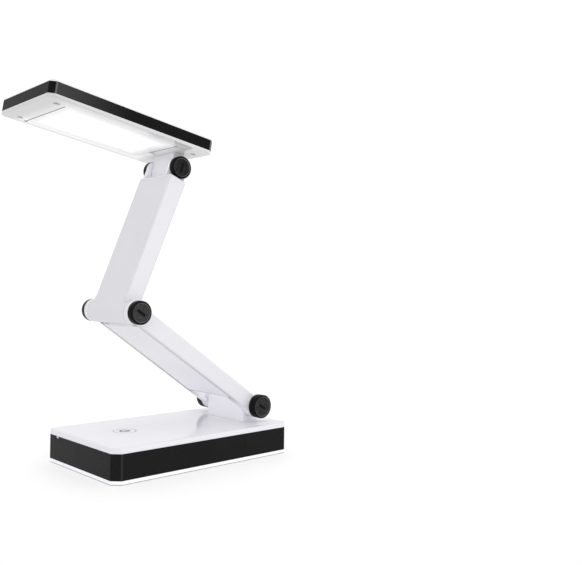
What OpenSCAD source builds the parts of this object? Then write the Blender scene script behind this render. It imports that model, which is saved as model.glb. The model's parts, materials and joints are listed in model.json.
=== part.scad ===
// Folding LED desk lamp: a weighted base, two flat arms on friction hinges and a flat light head.
// Millimetres. The origin is the middle of the rubber pad's underside. +Z is up, -X is the free end
// of the base, under the head, and -Y is the near long side.

/* [Base] */
// Length of the base
base_l = 190; // [180:1:220]
// Width of the base
base_w = 118; // [108:1:140]
// Chamfer on the upright corners of the base
base_corner = 6.5; // [3:0.5:10]
// Radius of the soft edges beside those chamfers
corner_edge_r = 1.2; // [0.4:0.1:1.8]
// Height of the black band round the base
base_band_h = 21.5; // [20.5:0.5:30]
// Wall of the base's shells
base_wall = 2.2; // [1.8:0.1:3]
// Thickness of the bottom tray
tray_t = 3.2; // [2.5:0.1:4]
// Height of the top plate, rim and crown together
top_h = 4.2; // [3.6:0.1:6]
// Radius of the top plate's rounded edge
top_edge_r = 2.6; // [1:0.1:3]
// Depth of the lips that locate one shell in the next
lip_h = 1.6; // [1:0.1:2.5]
// Distance of the corner screws from the base's sides
base_screw_inset = 14; // [12:0.5:20]

/* [Foot pad] */
// Length of the rubber pad under the base
pad_l = 138; // [100:1:150]
// Width of the rubber pad
pad_w = 74; // [50:1:80]
// How far the pad stands out of the tray
pad_out = 0.5; // [0.5:0.1:1.5]
// How deep the pad is let into the tray
pad_sunk = 0.9; // [0.5:0.1:1.2]

/* [Inside the base] */
// Length of the steel ballast plate
ballast_l = 122; // [80:1:124]
// Width of the steel ballast plate
ballast_w = 76; // [50:1:80]
// Thickness of the steel ballast plate
ballast_t = 3; // [2:0.5:3.5]
// Radius of one battery cell
cell_r = 9.1; // [6:0.1:9.1]
// Length of one battery cell
cell_l = 65; // [45:1:70]
// Length of the control board
board_l = 38; // [30:1:40]
// Width of the control board
board_w = 34; // [26:1:44]
// Thickness of the circuit boards
board_t = 1.6; // [1:0.1:2]
// Height of the posts that carry the control board
board_post_h = 6; // [4:0.5:8]
// Width of the charging socket
socket_w = 8.9; // [7:0.1:12]
// Height of the charging socket
socket_h = 3.3; // [2.5:0.1:4]
// Length of the charging socket
socket_l = 7.4; // [6:0.1:10]
// Sideways place of the charge light
indicator_y = 38; // [20:0.2:44]
// Width of the charge light's window
indicator_w = 3.4; // [2:0.1:5]
// Height of the charge light's window
indicator_h = 1.8; // [1.2:0.1:3]
// Distance of the touch ring from the middle of the base
ring_x = 49; // [40:0.5:60]
// Radius of the touch ring
ring_r = 10; // [7:0.1:12]
// Width of the touch ring's groove
ring_groove_w = 0.7; // [0.4:0.1:1.2]
// Depth of the touch ring's groove
ring_groove_d = 0.25; // [0.15:0.05:0.5]

/* [Base hinge] */
// Distance of the base hinge from the middle of the base
hinge_x = 72.4; // [60:0.2:76]
// Height of the base hinge above the top plate
hinge_rise = 15.1; // [13:0.1:20]
// Radius of the hinge post's round top
post_r = 11; // [9:0.1:12]
// Width of the hinge post
post_w = 55; // [44:0.5:56]
// Radius of the hinge post's upright edges
post_edge_r = 3; // [1:0.1:5]
// Thickness of each of the lower arm's ears at the base
base_ear_t = 10.05; // [8.5:0.05:12]
// Thickness of the caps on the base hinge
base_cap_t = 7.6; // [5.5:0.1:9]
// Radius of the caps on the base hinge
base_cap_r = 11.2; // [10:0.1:12.5]

/* [Hinge hardware] */
// Radius of the hinge pins
pin_r = 3; // [2:0.1:3.5]
// Radial clearance of a pin in the part that turns on it
pin_clearance = 0.05; // [0.02:0.01:0.1]
// Gap beside each turning hinge part
hinge_gap = 0.3; // [0.2:0.05:0.5]
// Thickness of the spring washers
washer_t = 1.2; // [0.8:0.1:2]
// Radius of the spring washers in the base hinge and the elbow
washer_r = 6.6; // [5:0.1:7]
// Radius of the spring washers in the head hinge
head_washer_r = 5.2; // [4.6:0.1:5.4]
// Radius of the pin heads
pin_head_r = 5.4; // [4.6:0.1:6.5]
// Thickness of the pin heads and nuts
pin_head_t = 2.6; // [2:0.1:3]
// Radius of the caps on the elbow and head hinges
cap_r = 10.2; // [9.6:0.1:11]
// Thickness of the caps on the elbow hinge
elbow_cap_t = 5.6; // [4.8:0.1:7]
// Thickness of the caps on the head hinge
head_cap_t = 5.2; // [4.8:0.1:6]
// Bevel on a hinge cap's rim
cap_bevel = 0.9; // [0.4:0.1:1.2]

/* [Lower arm] */
// Distance between the lower arm's two hinges
lower_len = 162.7; // [156:0.1:164]
// Slope of the lower arm above the table as it stands
lower_angle = 34.3; // [30:0.1:40]
// How far the ears stand out beside the arm at the base
base_ear_step = 0.4; // [0:0.05:2]
// How far the ears stand out beside the arm at the elbow
elbow_ear_step = 3.25; // [1:0.05:3.6]
// Depth of the lower arm below its hinge line, at the base
lower_under0 = 9.1; // [8.6:0.1:10]
// Depth of the lower arm below its hinge line, at the elbow
lower_under1 = 7.8; // [7.6:0.1:9]
// Height of the lower arm above its hinge line, at the base
lower_over0 = 7.1; // [5:0.1:8]
// Height of the lower arm above its hinge line, at the elbow
lower_over1 = 9.3; // [7:0.1:9.4]
// Distance of the channel floor's open end from the base hinge
floor_start = 30; // [14:0.5:34]
// Gap beside the upper arm where it lies in the lower arm
channel_gap = 1.2; // [0.8:0.1:2]
// Radius of the arms' rounded edges
arm_edge_r = 2.2; // [1.2:0.1:2.4]
// Thickness of the channel floor at the elbow
floor_t = 1.3; // [1:0.1:1.5]
// Width of the rim beside the underside cover
cover_rim = 3.8; // [2.6:0.1:5]
// Thickness of the underside cover
cover_t = 1; // [0.8:0.1:1.1]
// How deep the underside cover lies below its rim
cover_sunk = 0.5; // [0.2:0.1:0.6]
// Thickness of each of the elbow's ears
elbow_ear_t = 5.95; // [5:0.05:7]
// Radius of the elbow's ears and barrel
elbow_r = 10.4; // [9.9:0.1:11]

/* [Upper arm] */
// Distance between the upper arm's two hinges
upper_len = 140; // [132:0.1:140]
// Slope of the upper arm above the table as it stands
upper_angle = 68.5; // [60:0.1:80]
// Width of the upper arm
upper_w = 50.4; // [49.6:0.2:50.6]
// Depth of the upper arm's front half at the elbow
upper_front0 = 10.1; // [8:0.1:10.2]
// Depth of the upper arm's front half at the top
upper_front1 = 9.6; // [7.6:0.1:10]
// Depth of the upper arm's rear half at the elbow
upper_back0 = 6.6; // [5:0.1:6.6]
// Depth of the upper arm's rear half at the top
upper_back1 = 9.4; // [7:0.1:9.4]
// Wall of the upper arm's shell
upper_wall = 2.4; // [1.8:0.1:3]
// How far the elbow barrel stands out beside the arm
barrel_out = 5.1; // [4:0.1:5.4]
// Radius of the fillet between the arm and its barrel
barrel_fillet_r = 1.4; // [1:0.1:3.6]
// Radius of the two ears at the top of the arm
head_ear_r = 10; // [9:0.1:10.2]
// Thickness of each of those ears
head_ear_t = 2.8; // [2.4:0.1:3.4]
// Distance of the shoulders below the head hinge
shoulder_drop = 10.9; // [10.7:0.1:12]

/* [Head] */
// Length of the head
head_l = 156.9; // [150:0.1:157]
// Width of the head
head_w = 93.5; // [90:0.5:110]
// Tilt of the head above level as it stands
head_tilt = 8.6; // [0:0.1:12]
// Chamfer on the head's upright corners
head_corner = 4.4; // [2:0.2:8]
// Height of the black band round the head
head_band_h = 9.5; // [9:0.1:14]
// Thickness of the white bezel under the band
bezel_t = 2.8; // [2.4:0.1:3.2]
// Height of the white cover above the band
head_top_h = 1.5; // [1.2:0.1:3]
// Wall of the head's band
head_wall = 2; // [1.6:0.1:3]
// Radius of the head's rounded edges
head_edge_r = 1.2; // [0.6:0.1:1.2]
// Distance of the head hinge from the head's rear end
head_rear = 15.8; // [14.8:0.1:16.2]
// Distance of the head hinge below the band
head_drop = 16.25; // [15.8:0.05:18]
// Distance of the light window from the head's rear end
window_rear = 31.8; // [31:0.2:40]
// Distance of the light window from the head's tip
window_tip = 20.7; // [20:0.1:30]
// Width of the light window
window_w = 70; // [56:0.5:72]
// Rim of the bezel that the diffuser lies on
window_rim = 1.6; // [1:0.1:2]
// Thickness of the diffuser
diffuser_t = 2; // [1.5:0.1:2.4]
// Width of the tongue that hangs from the head between the arm's ears
tongue_w = 32.4; // [30:0.1:33.4]
// Thickness of the tongue
tongue_t = 11; // [10:0.1:14]
// Reach of the tongue's round end below the hinge
tongue_r = 8.8; // [7.5:0.1:9.4]
// Rows of light emitting diodes
led_rows = 4; // [2:1:6]
// Diodes in one row
led_columns = 8; // [4:1:12]
// Distance of the bezel's screws from the head's tip
head_screw_tip = 12.5; // [11:0.5:16]
// Distance of the bezel's rear screws from the head's rear end
head_screw_rear = 9.6; // [8:0.1:12]
// Distance of the bezel's tip screws from the middle line
head_screw_y = 33; // [26:0.5:38]

/* [Screws] */
// Radius of the screws' shanks
screw_r = 1.3; // [1:0.1:1.5]
// Radius of the screws' heads
screw_head_r = 2.5; // [2:0.1:2.7]
// Thickness of the screws' heads
screw_head_t = 1.4; // [1:0.1:1.6]
// Radius of the moulded screw posts
screw_post_r = 3.2; // [2.8:0.1:3.6]

/* [Hidden] */

$fn = 64;
round_fn = 24;          // facets of a full turn of the arms' round edges
section_t = 0.5;        // thickness of the end slices that an arm is drawn between
edge_steps = 3;         // steps round each soft corner edge
eps = 0.01;             // overlap that keeps unions and cuts clean
slip = 0.1;             // gap round a lip that locates one shell in another
head_clear = 0.15;      // gap round a screw's head in its pocket
sheet_gap = 0.2;        // gap between stacked sheets and the shells round them
over = 1;               // how far a cut runs past the face it opens
hole_spare = 1;         // how much deeper a pilot hole is than its screw
least_corner = 0.5;     // smallest chamfer left where a chamfered outline shrinks

// Heights of the base
tray_z = pad_out;
band_z = tray_z + tray_t;
top_z = band_z + base_band_h;
deck_z = top_z + top_h;
hinge_z = deck_z + hinge_rise;
deck_t = 2;                              // wall of the top plate under its flat face
deck_pocket_h = top_h - deck_t;

// Screws
screw_recess_r = 0.8 * screw_r;
screw_hole_l = 4 * screw_head_t;         // long enough to pass through any shell
screw_sunk = 0.5;                        // how deep a screw's head lies in a cover

// Hinge positions across the lamp
base_ear_in = post_w / 2 + hinge_gap;
base_ear_out = base_ear_in + base_ear_t;
barrel_w = upper_w + 2 * barrel_out;
elbow_ear_in = barrel_w / 2 + hinge_gap;
elbow_ear_out = elbow_ear_in + elbow_ear_t;
head_ear_in = tongue_w / 2 + hinge_gap;
head_ear_out = head_ear_in + head_ear_t;
cap_over = 0.4;                          // how far a base cap stands over its ear
base_ear_r = base_cap_r - cap_over;
elbow_ear_r = elbow_r;
cap_hollow_gap = 0.5;                    // room round a pin's head inside its cap
seat_gap = 0.02;                         // radial gap of a pin in the ears that hold it
cap_dish_r = 6.4;                        // shallow dish in a cap's face
cap_dish_d = 0.5;
cap_bar_w = 2.2;                         // raised bar across the dish
cap_bar_l = 8;

// Where the elbow and the head hinge stand
elbow_x = hinge_x - lower_len * cos(lower_angle);
elbow_z = hinge_z + lower_len * sin(lower_angle);
head_hinge_x = elbow_x + upper_len * cos(upper_angle);
head_hinge_z = elbow_z + upper_len * sin(upper_angle);

// Small sizes inside the base
lip_wall = 1.2;
pad_corner = 6;
ballast_x = -13;                         // middle of the ballast plate
board_mid = base_l / 2 - base_wall - slip - lip_wall - sheet_gap - board_l / 2;
board_post_r = 2.2;
board_post_inset = 4;
cell_inset = 3;                          // distance of the cells from the ballast plate's end
board_z = band_z + board_post_h;
socket_z = board_z + board_t + socket_h / 2;
indicator_l = base_wall + 2 * slip + lip_wall;   // reaches through the band and the plate's lip
indicator_flange = 1;                    // flange that keeps the light's window in place
socket_wall = 0.35;                      // sheet of the socket's shell
socket_floor = 1.2;
socket_set = 0.55;                       // how far the socket's mouth lies behind the band's face
socket_round = socket_h / 2 - 0.05;
sensor_t = 1;
ring_y = 3;                              // the ring sits a little to the far side of the middle
chip_l = board_l / 5;                    // charge controller on the board
chip_h = board_t;
coil_r = board_l / 12;                   // and its coil
coil_h = board_l / 8;
base_screw_len = 12;
post_screw_x = 6.4;
post_screw_y = 18;
post_screw_bite = 8;

// Lower arm
lower_w0 = 2 * (base_ear_out - base_ear_step);
lower_w1 = 2 * (elbow_ear_out - elbow_ear_step);
lower_wall = (lower_w1 - upper_w) / 2 - channel_gap;
barrel_gap = 0.5;                        // gap between the floor's end and the elbow barrel
fillet_gap = 0.8;                        // gap between the side walls' ends and the barrel's fillets
floor_extra = 0.8;                       // how much thicker the floor is at the base
floor_top0 = -lower_under0 + cover_sunk + cover_t + floor_t + floor_extra;
floor_top1 = -lower_under1 + cover_sunk + cover_t + floor_t;
notch_y0 = 14;                           // notch where the leads leave the lower arm
notch_y1 = 24;
notch_depth = 3.4;
lead_w = 8;
lead_t = 0.5;
lead_groove = 0.6;
lead_end = 2;                            // distance of the leads from the floor's open end
lead_y = (notch_y0 + notch_y1) / 2;

// Upper arm
shoulder_x = upper_len - shoulder_drop;
shoulder_bevel = 1;                      // soft edge round the shoulders
barrel_fillet_in = 1;                    // how far the fillets stay inside the arm's faces
back_cover_t = 2.4;
back_cover_side = 3.2;                   // width of the shell's edge beside the rear cover
back_cover_start = 5.7;
back_cover_x0 = elbow_r + back_cover_start;
back_cover_end = 7;
back_ledge = 2;
back_cover_x1 = shoulder_x - back_cover_end;
cavity_x0 = back_cover_x0 - back_ledge;
cavity_x1 = back_cover_x1 + back_ledge;
upper_screw_x = [for (f = [0.1, 0.5, 0.9]) back_cover_x0 + f * (back_cover_x1 - back_cover_x0)];
upper_screw_bite = 7;
function upper_front(x) = upper_front0 + (upper_front1 - upper_front0) * x / upper_len;
function upper_back(x) = upper_back0 + (upper_back1 - upper_back0) * x / upper_len;

// Head, seen from its hinge: x runs to the tip and z through the head
head_x0 = -head_rear;
head_x1 = head_l - head_rear;
head_mid = (head_x0 + head_x1) / 2;
bezel_z = head_drop - bezel_t;
cover_z = head_drop + head_band_h;
window_x0 = head_x0 + window_rear;
window_x1 = head_x1 - window_tip;
window_l = window_x1 - window_x0;
window_mid = (window_x0 + window_x1) / 2;
bezel_skin = 1.4;                        // depth of the window's edge
sheet_l = window_l + 2 * window_rim;
sheet_w = window_w + 2 * window_rim;
diffuser_z = bezel_z + bezel_skin;
reflector_z = diffuser_z + diffuser_t;
spreader_t = 1;
led_board_t = 1.2;
led_board_z = cover_z - sheet_gap - spreader_t - led_board_t;
reflector_h = led_board_z - reflector_z;
led_l = 3.5;
led_w = 2.8;
led_h = 0.8;
reflector_wall = 1.2;
head_screw_len = 8;
head_screw_x = [head_x1 - head_screw_tip, head_x0 + head_screw_rear];
head_screw_gap = 1.2;                    // room between a cap and the nearest screw post
head_screw_ys = [head_screw_y, head_ear_out + head_cap_t + screw_post_r + head_screw_gap];

// ---------- shapes that repeat ----------

// A rectangle with chamfered corners, centred
module chamfered_rectangle(l, w, c) {
    polygon([
        [l / 2, w / 2 - c], [l / 2 - c, w / 2], [c - l / 2, w / 2], [-l / 2, w / 2 - c],
        [-l / 2, c - w / 2], [c - l / 2, -w / 2], [l / 2 - c, -w / 2], [l / 2, c - w / 2]
    ]);
}

// The same outline with its eight corners rounded a little
module soft_rectangle(l, w, c, r) {
    places = [
        [l / 2, w / 2 - c], [l / 2 - c, w / 2], [c - l / 2, w / 2], [-l / 2, w / 2 - c],
        [-l / 2, c - w / 2], [c - l / 2, -w / 2], [l / 2 - c, -w / 2], [l / 2, c - w / 2]
    ];
    turn = 360 / len(places);
    reach = r / cos(turn / 2);
    polygon([
        for (i = [0 : len(places) - 1], k = [0 : edge_steps])
            let (middle = (i + 0.5) * turn, a = (i + k / edge_steps) * turn)
            places[i] - reach * [cos(middle), sin(middle)] + r * [cos(a), sin(a)]
    ]);
}

// A rectangle with round corners, centred
module rounded_rectangle(l, w, r) {
    square([l - 2 * r, w], center = true);
    square([l, w - 2 * r], center = true);
    for (x = [-1, 1], y = [-1, 1])
        translate([x * (l / 2 - r), y * (w / 2 - r)]) circle(r);
}

// A width by height outline whose two upper corners are round
module crowned_outline(w, h, r) {
    translate([-w / 2, 0]) square([w, h - r]);
    translate([r - w / 2, 0]) square([w - 2 * r, h]);
    for (x = [-1, 1]) translate([x * (w / 2 - r), h - r]) circle(r);
}

// Extrudes an outline drawn in x and z along Y, over a width centred on the lamp
module across(w) {
    rotate([90, 0, 0]) translate([0, 0, -w / 2]) linear_extrude(w) children();
}

// A flat block with chamfered upright corners and a round upper edge
module crowned_block(l, w, h, c, r) {
    intersection() {
        linear_extrude(h) soft_rectangle(l, w, c, corner_edge_r);
        across(w) crowned_outline(l, h, r);
        rotate([0, 0, 90]) across(l) crowned_outline(w, h, r);
    }
}

// A round bar along Y from y0 to y1
module bar(r, y0, y1) {
    translate([0, y0, 0]) rotate([-90, 0, 0]) cylinder(r = r, h = y1 - y0);
}

// A thin slice across an arm at x, w wide between two heights, with round corners
module arm_section(x, w, bottom, top, inset) {
    translate([x, 0, (bottom + top) / 2]) rotate([90, 0, 90]) linear_extrude(section_t)
        rounded_rectangle(w - 2 * inset, top - bottom - 2 * inset, arm_edge_r - inset, $fn = round_fn);
}

// The same thing on both sides of the lamp
module both_sides() {
    children();
    mirror([0, 1, 0]) children();
}

// Size of a chamfer that stays parallel when its outline shrinks
function inner_corner(c, inset) = max(c - inset * (2 - sqrt(2)), least_corner);

// The band's wall: a soft outline outside and a chamfered one inside
module band_ring(l, w, c, wall, h) {
    linear_extrude(h) difference() {
        soft_rectangle(l, w, c, corner_edge_r);
        chamfered_rectangle(l - 2 * wall, w - 2 * wall, inner_corner(c, wall));
    }
}

// A lip of even thickness that fits inside a band's wall, given its inset from the outside
module lip_ring(l, w, c, inset) {
    inner = inset + lip_wall;
    linear_extrude(lip_h + eps) difference() {
        chamfered_rectangle(l - 2 * inset, w - 2 * inset, inner_corner(c, inset));
        chamfered_rectangle(l - 2 * inner, w - 2 * inner, inner_corner(c, inner));
    }
}

// Four corner positions
module corners(x, y) {
    for (sx = [-1, 1], sy = [-1, 1]) translate([sx * x, sy * y, 0]) children();
}

// A screw whose head lies at z = 0 and whose shank points up
module screw(len) {
    difference() {
        cylinder(r = screw_head_r, h = screw_head_t);
        translate([0, 0, -eps]) cylinder(r = screw_recess_r, h = screw_head_t / 2, $fn = 6);
    }
    translate([0, 0, screw_head_t - eps]) cylinder(r = screw_r, h = len - screw_head_t);
}

// The pocket and shank hole for a screw whose head starts at z = 0
module screw_hole(depth) {
    translate([0, 0, -depth]) cylinder(r = screw_head_r + head_clear, h = depth + screw_head_t);
    cylinder(r = screw_r + slip, h = screw_hole_l);
}

// ---------- where each moving body stands ----------

// Lower arm: the base hinge is the origin, x runs to the elbow and z to the open side
module lower_frame() {
    translate([hinge_x, 0, hinge_z]) rotate([0, lower_angle, 0]) mirror([1, 0, 0]) children();
}

// Elbow hardware sits on the lower arm's far hinge line
module elbow_frame() {
    lower_frame() translate([lower_len, 0, 0]) children();
}

// Upper arm: the elbow is the origin, x runs to the head hinge and z to the front
module upper_frame() {
    translate([elbow_x, 0, elbow_z]) rotate([0, -upper_angle, 0]) children();
}

// Head hinge hardware sits in the ears at the upper arm's far end
module arm_top_frame() {
    upper_frame() translate([upper_len, 0, 0]) children();
}

// Head: the head hinge is the origin, x runs to the tip and z through the top
module head_frame() {
    translate([head_hinge_x, 0, head_hinge_z]) rotate([0, head_tilt, 0]) mirror([1, 0, 0]) children();
}

// ---------- hinge hardware, for any hinge at the origin of its frame ----------

// A pin with a round head on the near side, through ears that reach ear_out on both sides
module hinge_pin(ear_out) {
    bar(pin_r, -ear_out - eps, ear_out + pin_head_t);
    bar(pin_head_r, -ear_out - pin_head_t, -ear_out);
}

// The hexagonal nut on the pin's far end
module hinge_nut(ear_out) {
    difference() {
        translate([0, ear_out, 0]) rotate([-90, 0, 0]) cylinder(r = pin_head_r, h = pin_head_t, $fn = 6);
        bar(pin_r + seat_gap, ear_out - over, ear_out + pin_head_t + over);
    }
}

// The two spring washers beside a turning part that is inner_w wide
module hinge_washers(inner_w, r) {
    start = inner_w / 2 + pin_clearance;
    both_sides() difference() {
        bar(r, start, start + washer_t);
        bar(pin_r + seat_gap, start - over, start + washer_t + over);
    }
}

// The pocket for those washers and the bore for the pin, cut from the ears
module ear_cuts(inner_w, ear_out, r) {
    start = inner_w / 2;
    both_sides() bar(r + slip, start, start + pin_clearance + washer_t);
    bar(pin_r + seat_gap, -ear_out - over, ear_out + over);
}

// The pair of caps over a pin's head and nut, with a plain dish and a raised bar in each face
module hinge_caps(ear_out, r, t) {
    both_sides() translate([0, ear_out, 0]) rotate([-90, 0, 0]) difference() {
        union() {
            cylinder(r = r, h = t - cap_bevel);
            translate([0, 0, t - cap_bevel]) cylinder(r1 = r, r2 = r - cap_bevel, h = cap_bevel);
        }
        translate([0, 0, -eps])
            cylinder(r = pin_head_r + cap_hollow_gap, h = pin_head_t + cap_hollow_gap);
        translate([0, 0, t - cap_dish_d]) difference() {
            cylinder(r = cap_dish_r, h = cap_dish_d + eps);
            translate([-cap_bar_l / 2, -cap_bar_w / 2, 0]) cube([cap_bar_l, cap_bar_w, cap_dish_d + over]);
        }
    }
}

// ---------- base ----------

module foot_pad() {
    color("dimgray") linear_extrude(pad_out + pad_sunk) rounded_rectangle(pad_l, pad_w, pad_corner);
}

module base_tray() {
    screw_x = base_l / 2 - base_screw_inset;
    screw_y = base_w / 2 - base_screw_inset;
    color("white") difference() {
        union() {
            translate([0, 0, tray_z]) linear_extrude(tray_t)
                soft_rectangle(base_l, base_w, base_corner, corner_edge_r);
            translate([0, 0, band_z - eps]) lip_ring(base_l, base_w, base_corner, base_wall + slip);
            translate([board_mid, 0, band_z - eps])
                corners(board_l / 2 - board_post_inset, board_w / 2 - board_post_inset)
                    cylinder(r = board_post_r, h = board_post_h + eps);
        }
        translate([0, 0, -eps]) linear_extrude(tray_z + pad_sunk + eps)
            rounded_rectangle(pad_l + 2 * slip, pad_w + 2 * slip, pad_corner);
        translate([0, 0, tray_z]) corners(screw_x, screw_y) screw_hole(over);
    }
}

module base_screws() {
    color("silver") translate([0, 0, tray_z])
        corners(base_l / 2 - base_screw_inset, base_w / 2 - base_screw_inset) screw(base_screw_len);
}

module base_band() {
    color("black") difference() {
        translate([0, 0, band_z]) band_ring(base_l, base_w, base_corner, base_wall, base_band_h);
        translate([base_l / 2 - socket_l, 0, socket_z]) rotate([90, 0, 90]) linear_extrude(2 * socket_l)
            rounded_rectangle(socket_w + 2 * slip, socket_h + 2 * slip, socket_h / 2);
        translate([-base_l / 2 - over, indicator_y - indicator_w / 2, top_z - indicator_h])
            cube([base_wall + 2 * over, indicator_w, indicator_h + over]);
    }
}

module top_plate() {
    screw_x = base_l / 2 - base_screw_inset;
    screw_y = base_w / 2 - base_screw_inset;
    inset = base_wall + slip;
    color("white") difference() {
        union() {
            difference() {
                translate([0, 0, top_z]) crowned_block(base_l, base_w, top_h, base_corner, top_edge_r);
                translate([0, 0, top_z - eps]) linear_extrude(deck_pocket_h + eps)
                    chamfered_rectangle(base_l - 2 * (inset + lip_wall), base_w - 2 * (inset + lip_wall),
                        inner_corner(base_corner, inset + lip_wall));
            }
            translate([0, 0, top_z - lip_h]) lip_ring(base_l, base_w, base_corner, inset);
            translate([0, 0, band_z]) corners(screw_x, screw_y)
                cylinder(r = screw_post_r, h = top_z + deck_pocket_h - band_z + eps);
        }
        translate([0, 0, band_z - eps]) corners(screw_x, screw_y) cylinder(r = screw_r, h = base_screw_len);
        translate([hinge_x, 0, top_z]) corners(post_screw_x, post_screw_y)
            cylinder(r = screw_r + slip, h = top_h + over);
        translate([-base_l / 2, indicator_y - indicator_w / 2 - slip, top_z - lip_h - eps])
            cube([indicator_l + over, indicator_w + 2 * slip, lip_h + eps]);
        translate([-ring_x, ring_y, deck_z - ring_groove_d]) difference() {
            cylinder(r = ring_r + ring_groove_w / 2, h = over);
            translate([0, 0, -over]) cylinder(r = ring_r - ring_groove_w / 2, h = 3 * over);
        }
    }
}

module ballast_plate() {
    color("gray") translate([ballast_x, 0, band_z]) linear_extrude(ballast_t)
        rounded_rectangle(ballast_l, ballast_w, pad_corner);
}

module battery_cells() {
    color("steelblue") translate([ballast_x - ballast_l / 2 + cell_inset, 0, band_z + ballast_t + cell_r])
        for (y = [-1, 1]) translate([0, y * (cell_r + slip), 0])
            rotate([0, 90, 0]) cylinder(r = cell_r, h = cell_l);
}

module control_board() {
    color("seagreen") translate([board_mid, 0, board_z]) {
        linear_extrude(board_t) square([board_l, board_w], center = true);
        translate([-board_l / 4, -board_w / 4, board_t - eps]) cube([chip_l, chip_l, chip_h]);
        translate([-board_l / 4, board_w / 8, board_t - eps]) cylinder(r = coil_r, h = coil_h);
    }
}

module charge_socket() {
    color("silver") translate([base_l / 2 - socket_set - socket_l, 0, socket_z]) rotate([90, 0, 90])
        difference() {
            linear_extrude(socket_l) rounded_rectangle(socket_w, socket_h, socket_round);
            translate([0, 0, socket_floor]) linear_extrude(socket_l) rounded_rectangle(
                socket_w - 2 * socket_wall, socket_h - 2 * socket_wall, socket_round - socket_wall);
        }
}

module charge_light() {
    w = indicator_w - 2 * seat_gap;
    h = indicator_h - 2 * seat_gap;
    color("gray") translate([-base_l / 2, indicator_y - w / 2, top_z - seat_gap - h]) {
        cube([indicator_l, w, h]);
        translate([indicator_l, -indicator_flange, -indicator_flange])
            cube([indicator_flange, w + 2 * indicator_flange, h + indicator_flange]);
    }
}

module touch_sensor() {
    color("seagreen") translate([-ring_x, ring_y, top_z + deck_pocket_h - sensor_t])
        cylinder(r = ring_r, h = sensor_t);
}

// The knuckle that stands on the base and carries the lower arm
module hinge_post() {
    color("white") difference() {
        intersection() {
            translate([hinge_x, 0, hinge_z]) across(post_w) union() {
                circle(post_r);
                translate([-post_r, -hinge_rise]) square([2 * post_r, hinge_rise]);
            }
            translate([hinge_x, 0, deck_z]) linear_extrude(hinge_rise + post_r + over)
                rounded_rectangle(2 * post_r, post_w, post_edge_r);
        }
        translate([hinge_x, 0, hinge_z]) bar(pin_r + pin_clearance, -post_w, post_w);
        translate([hinge_x, 0, deck_z - eps]) corners(post_screw_x, post_screw_y)
            cylinder(r = screw_r, h = post_screw_bite);
    }
}

module post_screws() {
    color("silver") translate([hinge_x, 0, top_z + deck_pocket_h - screw_head_t])
        corners(post_screw_x, post_screw_y) screw(screw_head_t + deck_t + post_screw_bite - hole_spare);
}

// ---------- lower arm ----------

function lower_half_w(x) = (lower_w0 + (lower_w1 - lower_w0) * x / lower_len) / 2;
function lower_bottom(x) = -lower_under0 + (lower_under0 - lower_under1) * x / lower_len;
function lower_top(x) = lower_over0 + (lower_over1 - lower_over0) * x / lower_len;
function floor_top(x) = floor_top0 + (floor_top1 - floor_top0) * x / lower_len;

// An upright prism over a band of the tapering arm, inset from its sides, from x0 to x1
module arm_plan(x0, x1, inset, h) {
    translate([0, 0, -h]) linear_extrude(2 * h) polygon([
        [x0, lower_half_w(x0) - inset], [x1, lower_half_w(x1) - inset],
        [x1, inset - lower_half_w(x1)], [x0, inset - lower_half_w(x0)]
    ]);
}

// A slice of the arm between two sloping heights above its bottom edge, from x0 to x1
module arm_slice(x0, x1, inset, z0, z1) {
    intersection() {
        arm_plan(x0, x1, inset, lower_w0);
        across(lower_w0) polygon([
            [x0, lower_bottom(x0) + z0], [x1, lower_bottom(x1) + z0],
            [x1, lower_bottom(x1) + z1], [x0, lower_bottom(x0) + z1]
        ]);
    }
}

// The outside of the arm, tapering in width and depth, with round long edges
module arm_body() {
    hull() for (x = [0, lower_len - section_t])
        arm_section(x, 2 * lower_half_w(x), lower_bottom(x), lower_top(x), 0);
}

// The hollow that the upper arm lies in, above the channel floor
module arm_channel() {
    x1 = lower_len + lower_w0;
    intersection() {
        arm_plan(-lower_w0, x1, lower_wall, lower_w0);
        across(lower_w0) polygon([
            [-lower_w0, floor_top(-lower_w0)], [x1, floor_top(x1)], [x1, lower_w0], [-lower_w0, lower_w0]
        ]);
    }
}

// The room for the elbow's barrel, its fillets and the leads that leave beside it
module elbow_room() {
    translate([lower_len, 0, 0]) {
        bar(elbow_r + barrel_gap, -elbow_ear_in, elbow_ear_in);
        both_sides() bar(elbow_r + barrel_fillet_r + fillet_gap, upper_w / 2 - barrel_gap, elbow_ear_in);
        bar(elbow_r + notch_depth, notch_y0, notch_y1);
    }
}

module lower_arm() {
    cover_end = lower_len - elbow_r - barrel_gap;
    color("white") lower_frame() difference() {
        union() {
            difference() {
                arm_body();
                arm_channel();
                translate([-post_r, -base_ear_in, -lower_w0])
                    cube([floor_start + post_r, 2 * base_ear_in, 2 * lower_w0]);
                arm_slice(floor_start - over, cover_end + over, cover_rim, -over, cover_sunk + cover_t);
                lead_channel();
                elbow_room();
            }
            both_sides() bar(base_ear_r, base_ear_in, base_ear_out);
            translate([lower_len, 0, 0]) both_sides() bar(elbow_ear_r, elbow_ear_in, elbow_ear_out);
        }
        ear_cuts(post_w, base_ear_out, washer_r);
        translate([lower_len, 0, 0]) ear_cuts(barrel_w, elbow_ear_out, washer_r);
    }
}

// The groove for the leads, between the channel floor and the underside cover
module lead_channel() {
    x0 = floor_start - over;
    x1 = lower_len - elbow_r;
    z = cover_sunk + cover_t;
    intersection() {
        arm_slice(x0, x1, cover_rim, z - eps, z + lead_groove);
        translate([x0, lead_y - lead_w / 2 - slip, -lower_w0])
            cube([x1 - x0, lead_w + 2 * slip, 2 * lower_w0]);
    }
}

module lower_arm_cover() {
    x0 = floor_start + slip;
    x1 = lower_len - elbow_r - barrel_gap - slip;
    color("whitesmoke") lower_frame() difference() {
        arm_slice(x0, x1, cover_rim + slip, cover_sunk, cover_sunk + cover_t);
        elbow_room();
    }
}

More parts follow.
